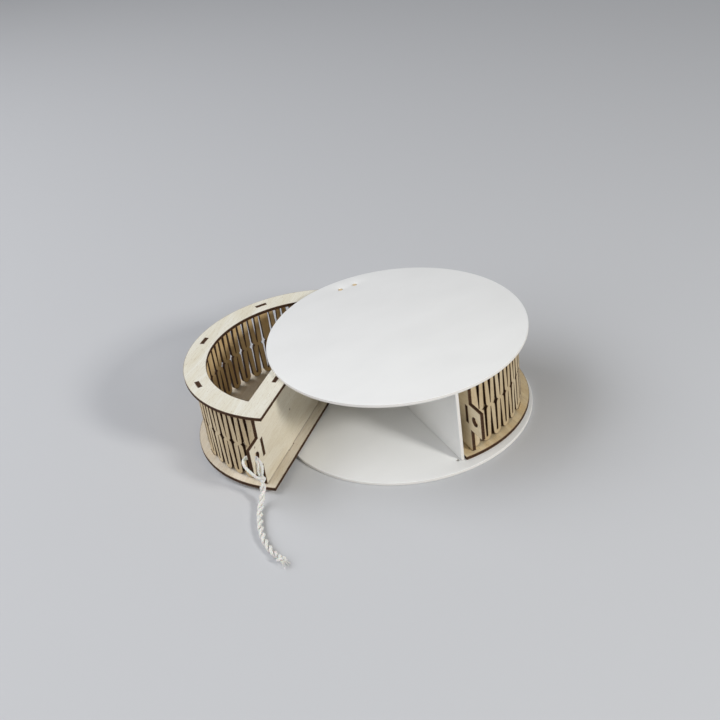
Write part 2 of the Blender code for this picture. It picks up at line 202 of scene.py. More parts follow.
# %% [markdown]
# The cord is limp and short. One end goes through the hole in the ear of the left tray, round
# its front edge and back to a knot. From the knot both ends, twisted together, fall to the
# table and lie there. Its route is a smooth curve through listed points, given in the tray's
# own flat frame: u runs along the straight wall towards the pin, v across the tray.
# The frame tells where the pin is, and the left joint how far the tray stands open.

# %% Where the trays are
WORDS = {-1: "left", 1: "right"}
pins = {}
turns = {}
for side, word in WORDS.items():
    pin_low, pin_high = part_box(word + "_pivot_pin")
    pins[side] = (pin_low + pin_high) / 2 / MM
    closed_at = next(j for j in frame["joints"] if j["name"] == word + "_tray_swing")["range_deg"]
    turns[side] = math.radians(closed_at[1]) if side < 0 else -math.radians(closed_at[0])

PIVOT_U = pins[1].y


def tray_point(side, u, v, z):
    """A place in the row frame, in metres, from a tray's flat frame in millimetres."""
    flat = Matrix.Rotation(side * turns[side], 3, "Z") @ Vector((side * v, u - PIVOT_U, z))
    return (flat + Vector((pins[side].x, pins[side].y, 0.0))) * MM


print("pins at", [(round(pins[side].x, 1), round(pins[side].y, 1)) for side in pins])
print("left tray stands open by", round(math.degrees(turns[-1]), 1), "degrees")

# %% Route of the cord
LOOP_ROUTE = [
    (-115.0, -1.0, 28.3),
    (-115.1, -1.8, 31.8),
    (-113.9, -1.9, 35.4),
    (-111.9, 0.7, 39.3),
    (-110.3, 4.9, 41.3),
    (-111.2, 9.2, 42.1),
    (-114.3, 12.0, 42.1),
    (-118.4, 11.9, 41.3),
    (-121.9, 9.2, 39.9),
    (-123.9, 5.2, 37.4),
    (-124.0, 1.8, 33.8),
    (-122.3, 0.2, 30.0),
    (-119.1, -0.1, 26.4),
]
KNOT_PLACE = (-115.2, -0.2, 23.8)
TAIL_ROUTE = [
    (-115.5, 0.0, 19.1),
    (-115.9, 0.4, 14.6),
    (-117.6, 0.8, 9.8),
    (-120.9, 0.8, 5.9),
    (-126.2, -0.2, 3.5),
    (-134.0, -2.6, 2.9),
    (-144.5, -7.2, 2.9),
    (-155.5, -13.2, 2.9),
    (-165.5, -20.6, 2.9),
    (-174.0, -29.4, 2.9),
    (-180.4, -38.6, 2.9),
]
END_KNOT_PLACE = (-182.9, -42.1, 4.1)
CURVE_STEPS = 24  # between two points of a route
CORD_STEP = 0.5  # mm between two rings of a strand


def smooth_line(route, spacing):
    """Points at an even spacing on a smooth curve through the route."""
    places = [Vector(point) for point in route]
    ends = [2 * places[0] - places[1]] + places + [2 * places[-1] - places[-2]]
    fine = []
    for before, start, end, after in zip(ends, ends[1:], ends[2:], ends[3:]):
        for step in range(CURVE_STEPS):
            t = step / CURVE_STEPS
            bend = (2 * before - 5 * start + 4 * end - after) * t**2
            swing = (3 * start - before - 3 * end + after) * t**3
            fine.append(0.5 * (2 * start + (end - before) * t + bend + swing))
    fine.append(places[-1])
    lengths = [0.0]
    for one, two in zip(fine, fine[1:]):
        lengths.append(lengths[-1] + (two - one).length)
    count = max(2, round(lengths[-1] / spacing))
    line = []
    index = 0
    for number in range(count + 1):
        wanted = lengths[-1] * number / count
        while index < len(fine) - 2 and lengths[index + 1] < wanted:
            index += 1
        share = (wanted - lengths[index]) / (lengths[index + 1] - lengths[index])
        line.append(fine[index].lerp(fine[index + 1], share))
    return line


def length_of(line):
    return sum((two - one).length for one, two in zip(line, line[1:]))


loop_line = smooth_line(LOOP_ROUTE, CORD_STEP)
tail_line = smooth_line(TAIL_ROUTE, CORD_STEP)
print("loop", round(length_of(loop_line), 1), "mm, tail", round(length_of(tail_line), 1), "mm")

# %% [markdown]
# ## Twisting a cord
#
# A cord is three strands laid round each other, and the tail is two such cords laid round each
# other again. A strand is a tube swept along a helix, and the helix needs a pair of normals
# that turn as little as they can along the line, or the twist would jump where the line bends.
# Twisting a line and then twisting the result gives cords made of strands with one function.

# %% Strands
def normals_along(line):
    """At each point the tangent and two normals that turn no more than the line does."""
    tangents = []
    for number in range(len(line)):
        ahead = line[min(number + 1, len(line) - 1)] - line[max(number - 1, 0)]
        tangents.append(ahead.normalized())
    normal = tangents[0].orthogonal().normalized()
    found = []
    for tangent in tangents:
        normal = (normal - tangent * normal.dot(tangent)).normalized()
        found.append((tangent, normal, tangent.cross(normal)))
    return found


def twisted(line, radius, pitch, phase):
    """The line of one strand that goes round a given line once in every pitch."""
    turned = []
    gone = 0.0
    last = line[0]
    for place, (_, normal, side) in zip(line, normals_along(line)):
        gone += (place - last).length
        last = place
        angle = phase + math.tau * gone / pitch
        turned.append(place + radius * (math.cos(angle) * normal + math.sin(angle) * side))
    return turned


def sweep(bm, line, radius, sides, shift, taper=1.0):
    """A closed round tube along a line. Its sheet place is the way along it and the way round."""
    sheet = bm.verts.layers.float_vector.get("sheet") or bm.verts.layers.float_vector.new("sheet")
    gone = 0.0
    last = line[0]
    rings = []
    for number, (place, (_, normal, side)) in enumerate(zip(line, normals_along(line))):
        gone += (place - last).length
        last = place
        reach = radius * (1 + (taper - 1) * number / (len(line) - 1))
        ring = []
        for corner in range(sides):
            angle = math.tau * corner / sides
            vert = bm.verts.new(place + reach * (math.cos(angle) * normal + math.sin(angle) * side))
            vert[sheet] = (gone, radius * math.sin(angle) + shift, radius * math.cos(angle))
            ring.append(vert)
        rings.append(ring)
    for low, high in zip(rings, rings[1:]):
        for one, two, three, four in zip(low, low[1:] + low[:1], high[1:] + high[:1], high):
            bm.faces.new((one, two, three, four))
    bm.faces.new(reversed(rings[0]))
    bm.faces.new(rings[-1])


def cotton_piece(name, bm):
    """Places a cord's mesh from the left tray's flat frame, and makes it an object."""
    for vert in bm.verts:
        vert.co = tray_point(-1, *vert.co)
    bmesh.ops.recalc_face_normals(bm, faces=bm.faces)
    mesh = bpy.data.meshes.new(name)
    bm.to_mesh(mesh)
    bm.free()
    mesh.materials.append(cotton)
    mesh.shade_smooth()
    piece = bpy.data.objects.new(name, mesh)
    bpy.context.collection.objects.link(piece)
    return piece


print(len(normals_along(loop_line)), "points along the loop have a tangent and two normals")

# %% Loop and tail
CORD_RADIUS = 1.4
STRAND_RADIUS = CORD_RADIUS / (1 + 2 / math.sqrt(3))  # three round strands that touch each other
STRAND_OFFSET = CORD_RADIUS - STRAND_RADIUS
STRAND_PITCH = 7.0
TAIL_PITCH = 17.0
STRAND_SIDES = 8
STRAND_SHIFT = 5.0  # so that no two strands have the same fibres


def lay_cord(bm, line, squeeze=1.0):
    """Three strands laid round one line."""
    for number in range(3):
        phase = math.tau * number / 3
        strand = twisted(line, STRAND_OFFSET * squeeze, STRAND_PITCH, phase)
        sweep(bm, strand, STRAND_RADIUS * squeeze, STRAND_SIDES, STRAND_SHIFT * number)


loop_mesh = bmesh.new()
lay_cord(loop_mesh, loop_line)
cord_loop = cotton_piece("cord_through_ear", loop_mesh)

tail_mesh = bmesh.new()
for number in range(2):
    lay_cord(tail_mesh, twisted(tail_line, CORD_RADIUS, TAIL_PITCH, math.pi * number))
cord_tail = cotton_piece("cord_twisted_tail", tail_mesh)
print("strands", round(2 * STRAND_RADIUS, 2), "mm thick;", len(cord_tail.data.vertices), "points in the tail")

# %% [markdown]
# ## Knots
#
# Both knots are simple overhand knots pulled tight. The line of such a knot, once its ends are
# joined, is the trefoil, and three sines give it. Sweeping the same three strands along it
# makes crossings that really pass over and under each other. The end knot keeps a short brush
# of loose yarns, as a cut cord frays past its knot.

# %% Knots
KNOT_REACH = 0.93  # mm for each unit of the trefoil, which reaches 3 units out
KNOT_HEIGHT = 1.45
KNOT_POINTS = 90
SECOND_STRAND = [  # the cord is doubled where it leaves the hole, and both come down to the knot
    (-115.4, 1.0, 27.0),
    (-115.3, 1.7, 30.5),
    (-114.6, 1.7, 34.5),
    (-113.2, 1.9, 38.0),
    (-112.2, 4.9, 40.5),
    (-112.0, 8.0, 41.0),
    (-113.2, 10.6, 41.5),
    (-115.8, 12.3, 41.9),
]
FRAYED_YARNS = 9
FRAY_LENGTH = 6.0
FRAY_START = (2.5, 1.0)  # from the knot's middle: along the cord, and out from it
FRAY_SPREAD = 2.6
FRAY_SINK = 3.0
FRAY_STEPS = 8
YARN_RADIUS = 0.32
YARN_SIDES = 6
YARN_REST = 0.35  # height of a yarn that lies on the table


def knot_line(place, tilt):
    """A trefoil about a place, leaning over by a tilt, with its ends hidden one in the other."""
    line = []
    lean = Matrix.Rotation(tilt, 3, "X") @ Matrix.Rotation(tilt / 2, 3, "Y")
    for number in range(KNOT_POINTS + 1):
        t = math.tau * number / KNOT_POINTS
        flat = Vector(
            (
                KNOT_REACH * (math.sin(t) + 2 * math.sin(2 * t)),
                KNOT_REACH * (math.cos(t) - 2 * math.cos(2 * t)),
                -KNOT_HEIGHT * math.sin(3 * t),
            )
        )
        line.append(Vector(place) + lean @ flat)
    return line


def frayed_yarns(bm, place, way):
    """Loose yarns that spread from a knot and sink to the table."""
    across = way.orthogonal().normalized()
    for number in range(FRAYED_YARNS):
        angle = math.tau * number / FRAYED_YARNS
        spread = Matrix.Rotation(angle, 3, way) @ across
        reach = FRAY_LENGTH * (0.75 + 0.25 * math.cos(2.3 * number))
        yarn = []
        for step in range(FRAY_STEPS + 1):
            share = step / FRAY_STEPS
            out = FRAY_START[1] + FRAY_SPREAD * share**1.5
            point = place + way * (FRAY_START[0] + reach * share) + spread * out
            point.z = max(point.z - FRAY_SINK * share**2, YARN_REST)
            yarn.append(point)
        sweep(bm, yarn, YARN_RADIUS, YARN_SIDES, 3.0 * number, taper=0.5)


knot_mesh = bmesh.new()
lay_cord(knot_mesh, knot_line(KNOT_PLACE, math.radians(70)), squeeze=0.94)
lay_cord(knot_mesh, smooth_line(SECOND_STRAND, CORD_STEP))
cord_knot = cotton_piece("cord_knot_at_ear", knot_mesh)

end_mesh = bmesh.new()
lay_cord(end_mesh, knot_line(END_KNOT_PLACE, math.radians(25)), squeeze=0.9)
tail_way = (Vector(END_KNOT_PLACE) - Vector(TAIL_ROUTE[-1])).normalized()
frayed_yarns(end_mesh, Vector(END_KNOT_PLACE), tail_way)
cord_end_knot = cotton_piece("cord_end_knot_frayed", end_mesh)
print("knots:", cord_knot.name, "and", cord_end_knot.name)

CORD_PIECES = {
    "cord_loop": cord_loop,
    "cord_tail": cord_tail,
    "cord_knot": cord_knot,
    "cord_end_knot": cord_end_knot,
}
for node, piece in CORD_PIECES.items():
    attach(piece, "left_tray")
    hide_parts(node)


# %% [markdown]
# ## Floor and light
#
# The box stands on a plain pale table in soft daylight. In the photograph the lid throws a soft
# shadow to the back left, so the main light stands in front and a little to the right, less
# than 30 degrees up. Its size sets how soft that shadow's edge is. Two large panels, at the
# left and at the back left, stand for the sky: they brighten the lid and all else that faces
# up, and leave the space below the lid dark. A faint even glow fills the rest.

# %% Floor and light
FLOOR_DROP = 0.2 * MM
FLOOR_SIZE = 12.0  # metres
LIGHT_DISTANCE = 2.4


def soft_panel(name, azimuth, height, size, power, tint):
    """A square light that looks at the box. Azimuth 0 is in front, and 90 at the right.
    The angles are in degrees, the size is in metres and the power in watts."""
    data = bpy.data.lights.new(name, "AREA")
    data.size = size
    data.energy = power
    data.color = srgb(tint)[:3]
    panel = bpy.data.objects.new(name, data)
    turn, rise = math.radians(azimuth), math.radians(height)
    way = Vector((math.sin(turn) * math.cos(rise), -math.cos(turn) * math.cos(rise), math.sin(rise)))
    panel.location = way * LIGHT_DISTANCE
    panel.rotation_euler = way.to_track_quat("Z", "Y").to_euler()
    bpy.context.collection.objects.link(panel)


floor_mesh = bpy.data.meshes.new("table")
half = FLOOR_SIZE / 2
corners = [(-half, -half, 0), (half, -half, 0), (half, half, 0), (-half, half, 0)]
floor_mesh.from_pydata(corners, [], [(0, 1, 2, 3)])
table = bpy.data.objects.new("table", floor_mesh)
table.location.z = -FLOOR_DROP
bpy.context.collection.objects.link(table)
matt_grey, _, table_shader = new_finish("matt_pale_grey", 0.9)
table_shader.inputs["Base Color"].default_value = srgb("#CACBCD")
floor_mesh.materials.append(matt_grey)

soft_panel("daylight", 22, 28, 0.37, 31.5, "#FFFEFB")
soft_panel("sky_at_left", -80, 35, 1.7, 17.0, "#FAFBFF")
soft_panel("sky_at_back", -135, 45, 1.7, 28.0, "#FAFBFF")
world = bpy.data.worlds.new("pale_room")
bpy.context.scene.world = world
world.use_nodes = True
sky = world.node_tree.nodes["Background"]
sky.inputs["Color"].default_value = srgb("#F2F4F7")
sky.inputs["Strength"].default_value = 0.24
bpy.context.scene.view_settings.view_transform = "Standard"

# %% [markdown]
# ## Birch veneer
#
# The faces are rotary-cut birch: a pale cream wood with a broad, cloudy figure, fine fibres and
# short darker flecks, and here and there a pin knot. It was left bare, so it is matt. Real
# fibres are a few hundredths of a millimetre wide, so they are drawn wider than they are, or
# the render couldn't show them. Beside each cut the laser's smoke has stained a narrow band,
# which the "scorch" attribute gives: 1 at the cut and 0 where the stain ends. A painted shade
# tints the lower face warmer and browner: the inside of a curved wall, dim inside the tray.

# %% Birch veneer
FIBRE = (0.7, 16.0)  # width and length in mm
FIGURE = (13.0, 95.0)
FLECK = (0.55, 3.2)
SMOKE = (2.2, 2.2)
PIN_KNOT_SPACING = 36.0
PIN_KNOT_RADIUS = 0.9
WITHOUT_KNOT = 0.72  # share of the places for a pin knot that stay empty
PLY_LINE = 0.75  # from a face to the middle ply


def grain(tree, fibres, shift, pale, warm):
    """Figure, fibres and flecks, laid over each other. Gives the colour, and the fibres alone."""
    layers = (
        (FIGURE, {"Detail": 2.0, "Distortion": 0.8}, (0.32, 0.68, 1.0), BLEND, warm),
        (FIBRE, {"Detail": 4.0, "Roughness": 0.65}, (0.42, 0.72, 0.42), TINT, "#D9C7A8"),
        (FLECK, {"Detail": 1.0}, (0.64, 0.78, 0.5), TINT, "#B08D62"),
    )
    colour = srgb(pale)
    noises = []
    for size, detail, (start, end, strength), mode, tint in layers:
        space = grain_space(tree, fibres, *size, shift)
        noise = add(tree, "TexNoise", {}, {"Vector": space, "Scale": 1.0, **detail}).outputs[0]
        spread = {"Value": noise, "From Min": start, "From Max": end, "To Max": strength}
        share = add(tree, "MapRange", {}, spread).outputs[0]
        colour = add(tree, "Mix", mode, {FACTOR: share, ONE: colour, TWO: srgb(tint)}).outputs[MIXED]
        noises.append(noise)
    _, fibre, _ = noises
    return colour, fibre


def pin_knots(tree, fibres, shift):
    """1 in the few small round knots and 0 beside them."""
    space = grain_space(tree, fibres, PIN_KNOT_SPACING, PIN_KNOT_SPACING, shift)
    spots = add(tree, "TexVoronoi", {"voronoi_dimensions": "2D"}, {"Vector": space, "Scale": 1.0})
    core = PIN_KNOT_RADIUS / PIN_KNOT_SPACING
    fade = {"Value": spots.outputs["Distance"], "From Min": core * 1.6, "From Max": core * 0.6, "To Max": 0.7}
    spot = add(tree, "MapRange", {}, fade)
    rare = add(tree, "SeparateColor", {}, {"Color": spots.outputs["Color"]})
    chosen = add(tree, "Math", {"operation": "GREATER_THAN"}, {0: rare.outputs[0], 1: WITHOUT_KNOT})
    return add(tree, "Math", {"operation": "MULTIPLY"}, {0: spot.outputs[0], 1: chosen.outputs[0]}).outputs[0]


def smoke_stain(tree, fibres, shift):
    """How strongly the laser's smoke has stained the wood beside a cut, unevenly."""
    burnt = add(tree, "Attribute", {"attribute_name": "scorch"}, {})
    space = grain_space(tree, fibres, *SMOKE, shift)
    smoke = add(tree, "TexNoise", {}, {"Vector": space, "Scale": 1.0, "Detail": 2.0})
    spread = {"Value": smoke.outputs[0], "From Min": 0.3, "From Max": 0.7, "To Min": 0.35, "To Max": 1.0}
    uneven = add(tree, "MapRange", {}, spread)
    deep = add(tree, "Math", {"operation": "POWER"}, {0: burnt.outputs["Fac"], 1: 1.6})
    return add(tree, "Math", {"operation": "MULTIPLY"}, {0: deep.outputs[0], 1: uneven.outputs[0]}).outputs[0]


print("fibres are drawn", FIBRE[0], "mm wide")

# %% Put the veneer together
def birch_veneer(name, pale, warm, fibres, shift, inner_shade=None):
    """Pale is the early wood's colour and warm the late wood's. Fibres run along or over the sheet.
    The last argument tints the lower face, the inside of a curved wall, with a painted shade."""
    finish, tree, shader = new_finish(name, 0.62)
    wood, fibre = grain(tree, fibres, shift, pale, warm)
    knotted = {FACTOR: pin_knots(tree, fibres, shift), ONE: wood, TWO: srgb("#6B4527")}
    bare = add(tree, "Mix", BLEND, knotted).outputs[MIXED]
    # painted shade: the lower face, the inside of a curved wall, is tinted warmer and darker
    if inner_shade:
        lower = add(tree, "Math", {"operation": "LESS_THAN"}, {0: sheet_depth(tree), 1: PLY_LINE})
        darker = {FACTOR: lower.outputs[0], ONE: bare, TWO: srgb(inner_shade)}
        bare = add(tree, "Mix", TINT, darker).outputs[MIXED]
    scorched = {FACTOR: smoke_stain(tree, fibres, shift), ONE: bare, TWO: srgb("#5F3F25")}
    stained = add(tree, "Mix", BLEND, scorched)
    cover(tree, shader, stained.outputs[MIXED], fibre, 0.5, 0.05)
    spread = {"Value": fibre, "From Min": 0.3, "From Max": 0.7, "To Min": 0.54, "To Max": 0.7}
    tree.links.new(add(tree, "MapRange", {}, spread).outputs[0], shader.inputs["Roughness"])
    return finish


print("places for a pin knot lie", PIN_KNOT_SPACING, "mm apart")

# %% [markdown]
# ## Laser-charred edge
#
# A laser cuts plywood by burning it, so each edge is a thin layer of char: dark brown, matt and
# finely ribbed across the thickness, where the beam moved on in small steps. The middle ply
# lies across the other two and burns darker. The depth in the sheet tells the plies apart.

# %% Charred edge
SHEET_HALF = 1.5  # mm
RIB_WIDTH = 0.9  # the real ribs are about 0.1 mm apart, too fine to show
RIB_FADE = 0.12  # per mm of depth, so that a rib hardly changes through the sheet


def from_middle(tree):
    """How far a point lies from the middle of the sheet's thickness, in millimetres."""
    centred = add(tree, "Math", {"operation": "SUBTRACT"}, {0: sheet_depth(tree), 1: SHEET_HALF})
    return add(tree, "Math", {"operation": "ABSOLUTE"}, {0: centred.outputs[0]}).outputs[0]


def charred_edge(name):
    finish, tree, shader = new_finish(name, 0.8)
    shader.inputs["Specular IOR Level"].default_value = 0.25
    line = SHEET_HALF - PLY_LINE
    step = {"Value": from_middle(tree), "From Min": line + 0.1, "From Max": line - 0.1}
    core = add(tree, "MapRange", {}, step)
    shades = {FACTOR: core.outputs[0], ONE: srgb("#4A311D"), TWO: srgb("#291A10")}
    plies = add(tree, "Mix", BLEND, shades)
    squeezed = {"Vector": sheet_place(tree), "Scale": (1 / RIB_WIDTH, 1 / RIB_WIDTH, RIB_FADE)}
    space = add(tree, "Mapping", {}, squeezed)
    ribs = add(tree, "TexNoise", {}, {"Vector": space.outputs[0], "Scale": 1.0, "Detail": 3.0})
    spread = {"Value": ribs.outputs[0], "From Min": 0.35, "From Max": 0.75, "To Max": 0.5}
    raised = add(tree, "MapRange", {}, spread)
    shades = {FACTOR: raised.outputs[0], ONE: plies.outputs[MIXED], TWO: srgb("#6A4A2F")}
    ribbed = add(tree, "Mix", BLEND, shades)
    cover(tree, shader, ribbed.outputs[MIXED], ribs.outputs[0], 0.7, 0.08)
    return finish


char = charred_edge("laser_charred_edge")
print("finish:", char.name)

# %% [markdown]
# ## White paint
#
# Discs and board are painted white with a small roller: a satin film with a faint stipple and
# hardly any grain left. On the rims the end grain drinks the paint, so they are warmer and
# more matt, and the lines between the plies still show. Two finishes share one function.

# %% White satin paint
STIPPLE = 1.1  # mm between the roller's dots
CLOUD = 38.0
PLY_LINE_HALF_WIDTH = 0.16


def satin_paint(name, white, thin, roughness, ply_lines):
    """Thin is the colour where the film is thinnest."""
    finish, tree, shader = new_finish(name, roughness)
    space = grain_space(tree, "along", STIPPLE, STIPPLE, 0.0)
    stipple = add(tree, "TexNoise", {}, {"Vector": space, "Scale": 1.0, "Detail": 2.0})
    space = grain_space(tree, "along", CLOUD, 2 * CLOUD, 0.0)
    cloud = add(tree, "TexNoise", {}, {"Vector": space, "Scale": 1.0, "Detail": 3.0})
    spread = {"Value": cloud.outputs[0], "From Min": 0.35, "From Max": 0.75, "To Max": 0.5}
    share = add(tree, "MapRange", {}, spread)
    colour = add(tree, "Mix", BLEND, {FACTOR: share.outputs[0], ONE: srgb(white), TWO: srgb(thin)})
    if ply_lines:
        near = {0: from_middle(tree), 1: SHEET_HALF - PLY_LINE, 2: PLY_LINE_HALF_WIDTH}
        on_line = add(tree, "Math", {"operation": "COMPARE"}, near)
        faint = add(tree, "Math", {"operation": "MULTIPLY"}, {0: on_line.outputs[0], 1: 0.45})
        lined = {FACTOR: faint.outputs[0], ONE: colour.outputs[MIXED], TWO: srgb("#BDB4A4")}
        colour = add(tree, "Mix", BLEND, lined)
    cover(tree, shader, colour.outputs[MIXED], stipple.outputs[0], 0.35, 0.03)
    return finish


paint = satin_paint("white_satin_paint", "#F3F3F1", "#EAEAE8", 0.42, False)
paint_edge = satin_paint("white_paint_on_end_grain", "#EFEDE9", "#E3DFD8", 0.6, True)
print("finishes:", paint.name, paint_edge.name)

# %% [markdown]
# ## Birch dowel
#
# The pins are turned birch dowels. Their grain runs along the pin, so the sides are lined and
# the ends show the pores as fine dots. A pin is built like a plate whose thickness is its
# length, so one function serves both: on the ends the stretched noise is cut across.

# %% Birch dowel
PORE = 0.45  # mm, drawn wider than the real pores
PORE_LENGTH = 18.0


def birch_dowel(name):
    finish, tree, shader = new_finish(name, 0.58)
    squeezed = {"Vector": sheet_place(tree), "Scale": (1 / PORE, 1 / PORE, 1 / PORE_LENGTH)}
    drawn = add(tree, "Mapping", {}, squeezed)
    pores = add(tree, "TexNoise", {}, {"Vector": drawn.outputs[0], "Scale": 1.0, "Detail": 3.0})
    shades = {FACTOR: pores.outputs[0], ONE: srgb("#C7A878"), TWO: srgb("#EAD9B8")}
    colour = add(tree, "Mix", BLEND, shades)
    cover(tree, shader, colour.outputs[MIXED], pores.outputs[0], 0.5, 0.05)
    return finish


dowel = birch_dowel("turned_birch_dowel")
print("finish:", dowel.name)

# %% [markdown]
# ## Cutting a plate
#
# Every plate is a flat outline with holes, given a thickness. Instead of extruding it and
# bevelling the result, the edge is drawn as a profile: how far in from the cut and how deep in
# the sheet each line of points lies. Walking every outline round that profile gives the
# scorched band, the small broken arris and the plies of the edge in clean rows of quads, and
# only the flat rest of the two faces is filled with triangles.
#
# The outlines run so that the wood is on their left: anticlockwise outside, clockwise round a
# hole. An outline moved to its left by a distance then always goes into the wood.

# %% Outlines
def arc(centre_a, centre_b, radius, start, end, steps):
    """Points on an arc in the flat sheet, angles in radians, both ends included."""
    points = []
    for step in range(steps + 1):
        angle = start + (end - start) * step / steps
        points.append(Vector((centre_a + radius * math.cos(angle), centre_b + radius * math.sin(angle))))
    return points


def circle(centre_a, centre_b, radius, steps):
    return arc(centre_a, centre_b, radius, 0.0, math.tau, steps)[:-1]


def rectangle(low_a, high_a, low_b, high_b):
    corners = ((low_a, low_b), (high_a, low_b), (high_a, high_b), (low_a, high_b))
    return [Vector(corner) for corner in corners]


def hole(outline):
    return outline[::-1]


def moved_in(outline, distance):
    """The outline moved into the wood, with mitred corners."""
    moved = []
    for before, here, after in zip(outline[-1:] + outline[:-1], outline, outline[1:] + outline[:1]):
        come = (here - before).normalized()
        go = (after - here).normalized()
        left = Vector((-come.y, come.x))
        middle = (left + Vector((-go.y, go.x))).normalized()
        moved.append(here + middle * (distance / middle.dot(left)))
    return moved


test_circle = moved_in(circle(0.0, 0.0, 10.0, 64), 1.0)
print("a circle of radius 10 moved in by 1 has radius", round(test_circle[0].length, 1))

# %% Edge profiles
ARRIS = 0.12  # mm; a laser leaves the arris nearly sharp
SCORCH_BAND = 0.8
CORE_BURNT_BACK = 0.07
PAINT_ROUNDING = 0.45


def laser_cut_profile(thickness):
    """(way in from the cut, depth, scorch) from the lower face round the edge to the upper face."""
    lower = [
        (SCORCH_BAND, 0.0, 0.0),
        (ARRIS, 0.0, 1.0),
        (0.0, ARRIS, 1.0),
        (0.0, PLY_LINE - 0.05, 1.0),
        (CORE_BURNT_BACK, PLY_LINE + 0.05, 1.0),
    ]
    return lower + [(inset, thickness - depth, scorch) for inset, depth, scorch in reversed(lower)]


def rounded_profile(thickness, radius, steps=3):
    """A plain edge with rounded arrises. Here scorch only marks the rim."""
    lower = []
    for step in range(steps + 1):
        angle = math.pi / 2 * step / steps
        inset, depth = radius * (1 - math.sin(angle)), radius * (1 - math.cos(angle))
        lower.append((inset, depth, 1.0 if step == steps else 0.0))
    return lower + [(inset, thickness - depth, scorch) for inset, depth, scorch in reversed(lower)]


print("laser-cut edge:", len(laser_cut_profile(3.0)), "lines of points")

# %% Cut sheet
SHARP_ANGLE = math.radians(35)


def cut_sheet(name, outlines, profile, place, finishes, bends=()):
    """A plate from its outlines. Place takes a flat point to the row frame. Bends are the flat
    sheet's crosswise lines where its faces are cut, so that they can follow a curve. The first
    finish is for the faces and the second for the edge."""
    bm = bmesh.new()
    scorch = bm.verts.layers.float.new("scorch")
    sheet = bm.verts.layers.float_vector.new("sheet")
    lower_rim = []
    upper_rim = []
    for outline in outlines:
        rings = []
        for inset, depth, burnt in profile:
            ring = [bm.verts.new((*point, depth)) for point in moved_in(outline, inset)]
            for vert in ring:
                vert[scorch] = burnt
            rings.append(ring)
        for number, (low, high) in enumerate(zip(rings, rings[1:])):
            on_edge = profile[number][2] == profile[number + 1][2] == 1.0
            for one, two, three, four in zip(low, low[1:] + low[:1], high[1:] + high[:1], high):
                bm.faces.new((one, two, three, four)).material_index = int(on_edge)
        for rim, ring in ((lower_rim, rings[0]), (upper_rim, rings[-1])):
            rim += [bm.edges.get(pair) for pair in zip(ring, ring[1:] + ring[:1])]
    bmesh.ops.triangle_fill(bm, use_beauty=True, use_dissolve=False, edges=lower_rim)
    bmesh.ops.triangle_fill(bm, use_beauty=True, use_dissolve=False, edges=upper_rim)
    for along in bends:
        everything = list(bm.verts) + list(bm.edges) + list(bm.faces)
        bmesh.ops.bisect_plane(bm, geom=everything, dist=1e-4, plane_co=(along, 0, 0), plane_no=(1, 0, 0))
    for vert in bm.verts:
        vert[sheet] = vert.co
        vert.co = place(*vert.co)
    bmesh.ops.recalc_face_normals(bm, faces=bm.faces)
    mesh = bpy.data.meshes.new(name)
    bm.to_mesh(mesh)
    bm.free()
    for finish in finishes:
        mesh.materials.append(finish)
    mesh.shade_smooth()
    mesh.set_sharp_from_angle(angle=SHARP_ANGLE)
    piece = bpy.data.objects.new(name, mesh)
    bpy.context.collection.objects.link(piece)
    return piece


def stand_for(piece, node):
    """The piece takes the place of a node and moves with the body that the node is in."""
    bodies = frame["record"]["behaviour"]["bodies"]
    body = next(name for name, members in bodies.items() if node in members)
    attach(piece, body)
    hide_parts(node)
    low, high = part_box(node)
    places = [piece.matrix_world @ vert.co for vert in piece.data.vertices]
    gap = 0.0
    for axis in range(3):
        values = [place[axis] for place in places]
        gap = max(gap, abs(min(values) - low[axis]), abs(max(values) - high[axis]))
    print(piece.name, "rides on", body, "and its box is within", round(gap / MM, 2), "mm of the node's")


# %% [markdown]
# ## Discs
#
# The base and the lid are the same disc. Two small round holes at the back take the pins, and
# the base has one more near the front end of the board. The sizes are read from the frame, so
# a changed model changes the looks with it. 256 corners keep the rim round in a close view.

# %% Discs
DISC_CORNERS = 256
HOLE_CORNERS = 32
PIN_HOLE_GAP = 0.3
BASE_HOLE = (-3.5, -100.5)
BASE_HOLE_RADIUS = 1.5

disc_low, disc_high = (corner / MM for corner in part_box("base_disc"))
PLY = disc_high.z - disc_low.z
DISC_RADIUS = (disc_high.x - disc_low.x) / 2
pin_box_low, pin_box_high = (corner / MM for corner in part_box("right_pivot_pin"))
PIN_RADIUS = (pin_box_high.x - pin_box_low.x) / 2


def disc(name, node, more_holes):
    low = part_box(node)[0].z / MM
    outlines = [circle(0.0, 0.0, DISC_RADIUS, DISC_CORNERS)]
    for side in (-1, 1):
        outlines.append(hole(circle(pins[side].x, pins[side].y, PIN_RADIUS + PIN_HOLE_GAP, HOLE_CORNERS)))
    for place, radius in more_holes:
        outlines.append(hole(circle(*place, radius, HOLE_CORNERS)))
    piece = cut_sheet(
        name,
        outlines,
        rounded_profile(PLY, PAINT_ROUNDING),
        lambda a, b, depth: Vector((a, b, low + depth)) * MM,
        (paint, paint_edge),
    )
    stand_for(piece, node)


disc("base", "base_disc", [(BASE_HOLE, BASE_HOLE_RADIUS)])
disc("lid", "lid_disc", [])

# %% [markdown]
# ## Board and pins
#
# The board between the trays is a painted plate on edge, and it carries the lid. The pins are
# plates too, seen from the end: a small circle with the pin's length as its thickness.

# %% Board and pins
PIN_CHAMFER = 0.4
PIN_CORNERS = 40

board_low, board_high = (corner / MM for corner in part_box("partition"))
board = cut_sheet(
    "upright_board",
    [rectangle(board_low.y, board_high.y, board_low.z, board_high.z)],
    rounded_profile(PLY, PAINT_ROUNDING),
    lambda a, b, depth: Vector((board_low.x + depth, a, b)) * MM,
    (paint, paint_edge),
)
stand_for(board, "partition")


